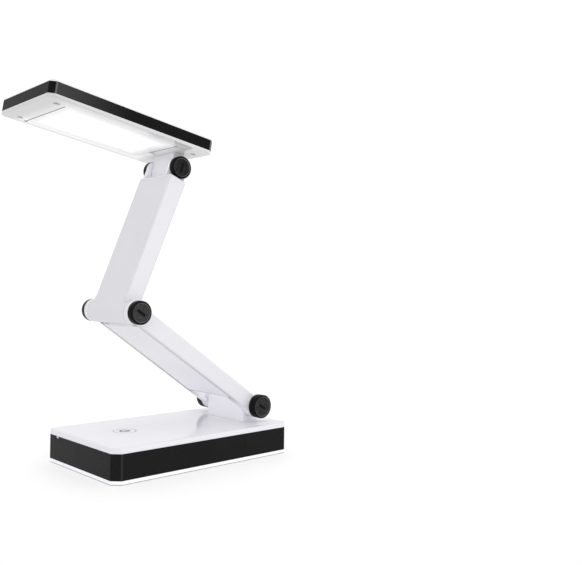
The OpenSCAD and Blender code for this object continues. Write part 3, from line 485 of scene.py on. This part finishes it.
def finishes():
    """Every material of the lamp, under the name of the slot or piece that takes it."""
    black = ((0.005, 0.005, 0.0053), (0.007, 0.007, 0.0073))
    cap_wear_and_highlight = {
        # The inner wall of each cap's rim runs from black to pale grey: a painted highlight along the inside
        # of the rim.
        "cap_wall": moulded("black_cap_wall_painted_highlight", grey(0.008), grey(0.11), GLOSSY, edge=SHARP_EDGE),
        "elbow_face": moulded("worn_black_elbow_face", grey(0.010), (0.042, 0.042, 0.041), (0.3, 0.5),
                              gloss=0.2, edge=FINE_EDGE, cloud=700.0),
        "base_face": moulded("worn_black_base_face", grey(0.003), grey(0.04), (0.2, 0.5),
                             gloss=0.1, edge=FINE_EDGE, cloud=900.0),
        "head_face": moulded("worn_black_head_face", grey(0.003), grey(0.022), (0.2, 0.5),
                             gloss=0.1, edge=FINE_EDGE, cloud=600.0),
    }
    blacks = {
        "rubber": ribbed_rubber(),
        "black_gloss": band_finish("glossy_black_base_band", (0, 0, 0), 0.0, BASE_BAND, 0.008, 0.07, 0.03),
        "head_black": band_finish("glossy_black_head_band", HEAD @ Vector((HEAD_MIDDLE, 0, 0)), HEAD_TILT,
                                  HEAD_BAND, 0.006, 0.04, 0.13, painted_reflection=0.046),
        "cap_rim": moulded("glossy_black_cap_rim", *black, (0.2, 0.28), gloss=0.05, edge=FINE_EDGE),
    }
    whites = {
        "white_gloss": moulded("glossy_white_shell", *white(0.74), (0.12, 0.18), gloss=0.26),
        "tray_white": tray_finish(),
        "bezel_white": bezel_finish(),
        # A much paler copy of the arms' white plastic: painted light filling the shade between the lower arm
        # and the deck.
        "post_white": moulded("satin_white_post", *white(0.94), SATIN),
        "lower_arm_white": lower_arm_finish(),
        "upper_arm_white": upper_arm_finish(),
        "white_cover": cover_finish(),
        "rear_cover_white": moulded("satin_white_rear_cover", *white(0.72), SOFT_SATIN),
        "diffuser": lit_panel(),
        "reflector": moulded("white_reflector", *white(0.8), (0.4, 0.5)),
    }
    inside = {
        "steel": metal("plated_steel", (0.5, 0.5, 0.51), (0.62, 0.62, 0.63), (0.22, 0.34)),
        "ballast": metal("plain_steel", (0.3, 0.3, 0.31), (0.4, 0.4, 0.4), (0.4, 0.55)),
        "cell_sleeve": moulded("blue_cell_sleeve", (0.03, 0.1, 0.35), (0.04, 0.13, 0.4), (0.25, 0.35)),
        "board": moulded("green_board", (0.01, 0.14, 0.05), (0.015, 0.2, 0.07), (0.3, 0.45)),
        "lead": moulded("red_lead", (0.5, 0.05, 0.03), (0.6, 0.07, 0.05), (0.4, 0.5)),
        "led": moulded("phosphor", (0.85, 0.7, 0.2), (0.95, 0.82, 0.3), (0.3, 0.4)),
        "spreader": metal("bare_aluminium", (0.68, 0.69, 0.7), (0.78, 0.79, 0.8), (0.3, 0.42)),
    }
    small = {
        "light_pipe": moulded("frosted_light_window", (0.55, 0.55, 0.56), (0.6, 0.6, 0.61), (0.3, 0.4)),
        "ring_print": moulded("grey_print", (0.16, 0.16, 0.165), (0.2, 0.2, 0.205), (0.4, 0.5),
                              edge=SHARP_EDGE),
        "sign_print": moulded("black_print", (0.015, 0.015, 0.016), (0.02, 0.02, 0.021), (0.4, 0.5),
                              edge=SHARP_EDGE),
        # Painted shade: the dark colour of the strips that stand for the slots round the light window.
        "gap": moulded("slot_painted_shade", (0.14, 0.14, 0.143), (0.2, 0.2, 0.203), (0.6, 0.7), edge=SHARP_EDGE),
        "seam": moulded("grey_seam", (0.7, 0.7, 0.71), (0.76, 0.76, 0.77), (0.6, 0.7), edge=SHARP_EDGE),
    }
    return {key: f.material for key, f in {**cap_wear_and_highlight, **blacks, **whites, **inside, **small}.items()}


def dress(paint):
    """Every node of the frame takes its own finish, or the finish of its material slot."""
    own = {"base_tray": "tray_white", "hinge_post": "post_white", "lower_arm": "lower_arm_white",
           "upper_arm": "upper_arm_white", "upper_arm_cover": "rear_cover_white",
           "head_bezel": "bezel_white", "head_band": "head_black"}
    for part in frame["record"]["subparts"]:
        shell = frame["nodes"][part["node"]]
        finish = paint[own.get(part["node"], part["material_slot"])]
        if not shell.material_slots:
            shell.data.materials.append(finish)
        for place in shell.material_slots:
            place.material = finish


# ---------- making pieces ----------

SHARP_ANGLE = 32


def piece(name, mesh, place, finish, body, stands_for=()):
    """Puts a closed bmesh, drawn in a body's own millimetres, in its place in the frame."""
    bmesh.ops.transform(mesh, matrix=place, verts=mesh.verts)
    bmesh.ops.remove_doubles(mesh, verts=mesh.verts, dist=1e-7)
    bmesh.ops.recalc_face_normals(mesh, faces=mesh.faces)
    data = bpy.data.meshes.new(name)
    mesh.to_mesh(data)
    mesh.free()
    data.shade_smooth()
    data.set_sharp_from_angle(angle=math.radians(SHARP_ANGLE))
    for one in finish if isinstance(finish, tuple) else (finish,):
        data.materials.append(one)
    made = bpy.data.objects.new(name, data)
    bpy.context.scene.collection.objects.link(made)
    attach(made, body)
    if stands_for:
        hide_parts(*stands_for)


def turned(mesh, profile, place, steps=96, finish=lambda part: 0):
    """Adds a closed shape turned round Z: profile is (radius, height) pairs and closes on itself."""
    rings = []
    for radius, height in profile:
        if radius == 0:
            rings.append([mesh.verts.new(place @ Vector((0, 0, height)))] * steps)
        else:
            angles = [2 * math.pi * k / steps for k in range(steps)]
            rings.append([mesh.verts.new(place @ Vector((radius * math.cos(a), radius * math.sin(a), height)))
                          for a in angles])
    for part, (one, two) in enumerate(zip(rings, rings[1:] + rings[:1])):
        for k in range(steps):
            corners = []
            for vert in (one[k], one[k - 1], two[k - 1], two[k]):
                if vert not in corners:
                    corners.append(vert)
            if len(corners) > 2:
                mesh.faces.new(corners).material_index = finish(part)


def tube(mesh, rings, closed):
    """Adds walls between rings of four corners, from the last ring back to the first, or with two ends."""
    for one, two in zip(rings, rings[1:] + (rings[:1] if closed else [])):
        for k in range(4):
            mesh.faces.new((one[k], one[k - 1], two[k - 1], two[k]))
    if not closed:
        mesh.faces.new(rings[0])
        mesh.faces.new(rings[-1])


def block(mesh, low, high, soften=0.0, place=Matrix()):
    """Adds a box between two corners, with softened edges."""
    made = bmesh.ops.create_cube(mesh, size=1.0)["verts"]
    size = Vector(high) - Vector(low)
    middle = (Vector(high) + Vector(low)) / 2
    bmesh.ops.transform(mesh, matrix=Matrix.Translation(middle) @ Matrix.Diagonal((*size, 1)), verts=made)
    if soften:
        edges = list({edge for vert in made for edge in vert.link_edges})
        bevel = bmesh.ops.bevel(mesh, geom=edges, offset=soften, segments=3, profile=0.5, affect="EDGES")
        made = list({v for face in bevel["faces"] for v in face.verts} | {v for v in made if v.is_valid})
    bmesh.ops.transform(mesh, matrix=place, verts=made)


def along_y(side, distance):
    """Turns a shape drawn along Z so that it stands on one side of the lamp, facing outwards."""
    return Matrix.Translation((0, side * distance, 0)) @ Matrix.Rotation(-side * math.pi / 2, 4, "X")


# ---------- hinge caps, marks, panel and cover ----------

def cap_pair(name, place, ear, radius, thick, body, finish, node):
    """Two black hinge caps: a raised rim round a sunk face with a plain bar across it."""
    hollow, room, soft = 5.9, 3.1, 0.9
    bar_half, bar_half_width, bar_low, bar_high, bar_soft = 4.4, 1.2, thick - 0.9, thick - 0.05, 0.25
    arc = [math.radians(22.5 * k) for k in range(5)]
    rim = [(0, room), (hollow, room), (hollow, 0), (radius, 0)]
    rim += [(radius - soft + soft * math.cos(a), thick - soft + soft * math.sin(a)) for a in arc]
    wall = [(radius - 1.75, thick), (radius - 2.0, thick - 0.12)]
    face = [(radius - 2.3, thick - 0.5), (radius - 2.7, thick - 0.62), (3.0, thick - 0.45), (0, thick - 0.42)]

    def zone(part):
        return 0 if part < len(rim) else 1 if part < len(rim + wall) else 2

    mesh = bmesh.new()
    for side in (-1, 1):
        stand = along_y(side, ear)
        turned(mesh, rim + wall + face, stand, finish=zone)
        block(mesh, (-bar_half, -bar_half_width, bar_low), (bar_half, bar_half_width, bar_high), bar_soft,
              stand)
    piece(name, mesh, place, finish, body, (node,))


def fit_caps(paint):
    for name, node, place, ear, radius, thick, body, face in (
            ("base_caps", "base_hinge_caps", LOWER_ARM, 37.85, 11.2, 7.6, "lower_arm", "base_face"),
            ("elbow_caps_black", "elbow_caps", LOWER_ARM @ Matrix.Translation((LOWER_REACH, 0, 0)),
             36.55, 10.2, 5.6, "lower_arm", "elbow_face"),
            ("head_caps", "head_hinge_caps", UPPER_ARM @ Matrix.Translation((UPPER_REACH, 0, 0)),
             19.3, 10.2, 5.2, "upper_arm", "head_face")):
        cap_pair(name, place, ear, radius, thick, body,
                 (paint["cap_rim"], paint["cap_wall"], paint[face]), node)


def touch_mark(paint):
    """The printed ring in the deck's groove and a plain standby sign inside it."""
    middle = Matrix.Translation((-49, 3, DECK))
    inner, outer, ring_low, ring_high = 9.75, 10.25, -0.24, -0.05
    mesh = bmesh.new()
    turned(mesh, [(inner, ring_low), (outer, ring_low), (outer, ring_high), (inner, ring_high)], middle)
    piece("touch_ring", mesh, LEVEL, paint["ring_print"], "base")

    bow_inner, bow_outer, low, high = 3.2, 4.9, -0.02, 0.06
    half_opening, steps = 40, 40
    stroke_start, stroke_end, stroke_half = 0.6, 5.6, 0.85
    mesh = bmesh.new()
    bow = []
    for k in range(steps + 1):
        a = math.radians(half_opening + (360 - 2 * half_opening) * k / steps)
        bow.append([mesh.verts.new(middle @ Vector((r * math.cos(a), r * math.sin(a), z)))
                    for r, z in ((bow_inner, low), (bow_outer, low), (bow_outer, high), (bow_inner, high))])
    tube(mesh, bow, False)
    block(mesh, (stroke_start, -stroke_half, low), (stroke_end, stroke_half, high), place=middle)
    piece("standby_sign", mesh, LEVEL, paint["sign_print"], "base")


def milky_panel(paint):
    """The sheet over the diodes, stepped so that its face fills the window and lies level with the bezel."""
    lip, thick, under = 1.6, 2.0, 1.4
    mesh = bmesh.new()
    block(mesh, (WINDOW_REAR - lip, -WINDOW_SIDE - lip, BEZEL_FACE + under),
          (WINDOW_TIP + lip, WINDOW_SIDE + lip, BEZEL_FACE + under + thick))
    block(mesh, (WINDOW_REAR - 0.1, -WINDOW_SIDE - 0.3, BEZEL_FACE - 0.06),
          (WINDOW_TIP + 0.7, WINDOW_SIDE + 0.3, BEZEL_FACE + thick), 0.3)
    piece("milky_panel", mesh, HEAD, paint["diffuser"], "head", ("diffuser",))


def panel_slots(paint):
    """Dark strips of painted shade that stand for the slots at the two short ends of the light window, each
    with a round end.
    """
    half_width, deep, proud, radius, round_steps = 0.4, 0.5, 0.09, 1.5, 32
    mesh = bmesh.new()
    for x, start, end, middle in ((WINDOW_TIP + 1.0, -33, 38, 38.4), (WINDOW_REAR - 0.5, -32.6, 10, -33.0)):
        block(mesh, (x - half_width, start, BEZEL_FACE - proud), (x + half_width, end, BEZEL_FACE + deep))
        turned(mesh, [(0, -0.1), (radius, -0.1), (radius, deep), (0, deep)],
               Matrix.Translation((x, middle, BEZEL_FACE)), round_steps)
    piece("panel_slots", mesh, HEAD, paint["gap"], "head")


def underside_cover(paint):
    """The cover let into the lower arm, and the grey seam between it and the arm's rim."""
    start, end, rim, deep = 30.1, 151.6, 3.9, 1.5
    seam, bevel, cover_sunk, seam_sunk, play = 1.5, 0.3, 0.5, 0.55, 0.05

    def ring(inset, height):
        """Four corners that follow the arm's taper, inset from its rim and sunk below its underside."""
        corners = []
        for x, side in ((start + inset, -1), (end - inset, -1), (end - inset, 1), (start + inset, 1)):
            half = LOWER_HALF[0] + (LOWER_HALF[1] - LOWER_HALF[0]) * x / LOWER_REACH
            under = LOWER_UNDER[0] + (LOWER_UNDER[1] - LOWER_UNDER[0]) * x / LOWER_REACH
            corners.append(mesh.verts.new((x, side * (half - rim - inset), height - under)))
        return corners

    mesh = bmesh.new()
    tube(mesh, [ring(seam, deep), ring(seam, cover_sunk + bevel), ring(seam + bevel, cover_sunk)], False)
    piece("underside_cover", mesh, LOWER_ARM, paint["white_cover"], "lower_arm",
          ("lower_arm_cover",))
    mesh = bmesh.new()
    inner = seam - play
    tube(mesh, [ring(0.0, deep), ring(0.0, seam_sunk), ring(inner, seam_sunk), ring(inner, deep)], True)
    piece("cover_seam", mesh, LOWER_ARM, paint["seam"], "lower_arm")


# ---------- screws ----------

SCREW_SIZES = (("Head radius", 2.5), ("Head height", 1.4), ("Recess width", 0.55), ("Recess reach", 2.9),
               ("Recess depth", 0.8), ("Shank radius", 1.3), ("Shank length", 8.0))
SCREW_SEED = 7


def cross_screw_tree():
    """A pan head with a cross recess and its shank, one at every point, each turned its own way."""
    tree = bpy.data.node_groups.new("cross_screws", "GeometryNodeTree")
    tree.interface.new_socket("Places", in_out="INPUT", socket_type="NodeSocketGeometry")
    for name, value in SCREW_SIZES:
        size = tree.interface.new_socket(name, in_out="INPUT", socket_type="NodeSocketFloat")
        size.default_value = value
    tree.interface.new_socket("Finish", in_out="INPUT", socket_type="NodeSocketMaterial")
    tree.interface.new_socket("Screws", in_out="OUTPUT", socket_type="NodeSocketGeometry")
    given = tree.nodes.new("NodeGroupInput").outputs
    result = tree.nodes.new("NodeGroupOutput")

    def node(kind, inputs=(), **settings):
        made = new_node(tree, kind, **settings)
        for name, value in dict(inputs).items():
            feed(tree, value, made.inputs[name])
        return made

    def share(name, factor):
        return maths(tree, "MULTIPLY", given[name], factor)

    def moved(mesh, height):
        offset = node("ShaderNodeCombineXYZ", {"Z": height})
        shifted = node("GeometryNodeTransform", {"Geometry": mesh, "Translation": offset.outputs[0]})
        return shifted.outputs["Geometry"]

    head = node("GeometryNodeMeshCone", {"Vertices": 28, "Radius Bottom": share("Head radius", 0.8),
                                         "Radius Top": share("Head radius", 0.98),
                                         "Depth": share("Head height", 0.4)})
    rim = node("GeometryNodeMeshCylinder", {"Vertices": 28, "Radius": given["Head radius"],
                                            "Depth": share("Head height", 0.64)})
    shank = node("GeometryNodeMeshCylinder", {"Vertices": 16, "Radius": given["Shank radius"],
                                              "Depth": given["Shank length"]})
    shank_start = 0.9
    whole = node("GeometryNodeMeshBoolean", operation="UNION", solver="EXACT")
    for mesh in (head.outputs["Mesh"], moved(rim.outputs["Mesh"], share("Head height", 0.68)),
                 moved(shank.outputs["Mesh"], maths(tree, "ADD", share("Shank length", 0.5), shank_start))):
        tree.links.new(mesh, whole.inputs["Mesh 2"])
    cut = node("GeometryNodeMeshBoolean", {"Mesh 1": whole.outputs["Mesh"]}, operation="DIFFERENCE",
               solver="EXACT")
    for length, width in (("X", "Y"), ("Y", "X")):
        size = node("ShaderNodeCombineXYZ", {length: given["Recess reach"], width: given["Recess width"],
                                             "Z": share("Recess depth", 2.0)})
        bar = node("GeometryNodeMeshCube", {"Size": size.outputs[0]})
        tree.links.new(bar.outputs["Mesh"], cut.inputs["Mesh 2"])
    angle = node("FunctionNodeRandomValue", data_type="FLOAT")
    angle.inputs["Max"].default_value = 2 * math.pi
    angle.inputs["Seed"].default_value = SCREW_SEED
    turn = node("ShaderNodeCombineXYZ", {"Z": angle.outputs["Value"]})
    stand = node("GeometryNodeInstanceOnPoints", {"Points": given["Places"], "Instance": cut.outputs["Mesh"],
                                                  "Rotation": turn.outputs[0]})
    real = node("GeometryNodeRealizeInstances", {"Geometry": stand.outputs["Instances"]})
    coat = node("GeometryNodeSetMaterial", {"Geometry": real.outputs["Geometry"],
                                            "Material": given["Finish"]})
    tree.links.new(coat.outputs["Geometry"], result.inputs["Screws"])
    return tree


def screws(name, tree, places, shank, place, body, finish, node):
    """One body's screws, made plain and put in their place."""
    data = bpy.data.meshes.new(name)
    data.from_pydata(places, [], [])
    made = bpy.data.objects.new(name, data)
    bpy.context.scene.collection.objects.link(made)
    modifier = made.modifiers.new("screws", "NODES")
    modifier.node_group = tree
    sockets = {item.name: item.identifier for item in tree.interface.items_tree if item.in_out == "INPUT"}
    for key, value in {**dict(SCREW_SIZES), "Shank length": shank}.items():
        modifier[sockets[key]] = value
    modifier[sockets["Finish"]] = finish
    graph = bpy.context.evaluated_depsgraph_get()
    plain = bpy.data.meshes.new_from_object(made.evaluated_get(graph))
    bpy.data.objects.remove(made)
    mesh = bmesh.new()
    mesh.from_mesh(plain)
    bpy.data.meshes.remove(plain)
    piece(name, mesh, place, finish, body, (node,))


def fit_screws(paint):
    """The screws of the base's underside, of the upper arm's rear cover and of the bezel."""
    tree = cross_screw_tree()
    steel = paint["steel"]
    sunk = 0.5
    corners = [(x, y, sunk) for x in (-81, 81) for y in (-45, 45)]
    screws("base_corner_screws", tree, corners, 10.6, LEVEL, "base", steel, "base_screws")

    cover_start, cover_length, rear_depth, rear_rise = 16.1, 106.0, 6.6, 2.8
    line = [cover_start + f * cover_length for f in (0.1, 0.5, 0.9)]
    back = [(x, 0, sunk - (rear_depth + rear_rise * x / UPPER_REACH)) for x in line]
    screws("rear_cover_screws", tree, back, 7.0, UPPER_ARM, "upper_arm", steel, "upper_arm_screws")

    under = [(x, side * y, BEZEL_FACE + sunk) for x, y in ((128.6, 33), (-6.2, 28.9)) for side in (-1, 1)]
    screws("bezel_screws", tree, under, 8.4, HEAD, "head", steel, "head_screws")


# ---------- the lamp ----------

bpy.context.scene.view_settings.view_transform = "Standard"
stand_camera()
light_the_lamp()
lay_floor()
paint = finishes()
dress(paint)
fit_caps(paint)
touch_mark(paint)
milky_panel(paint)
panel_slots(paint)
underside_cover(paint)
fit_screws(paint)
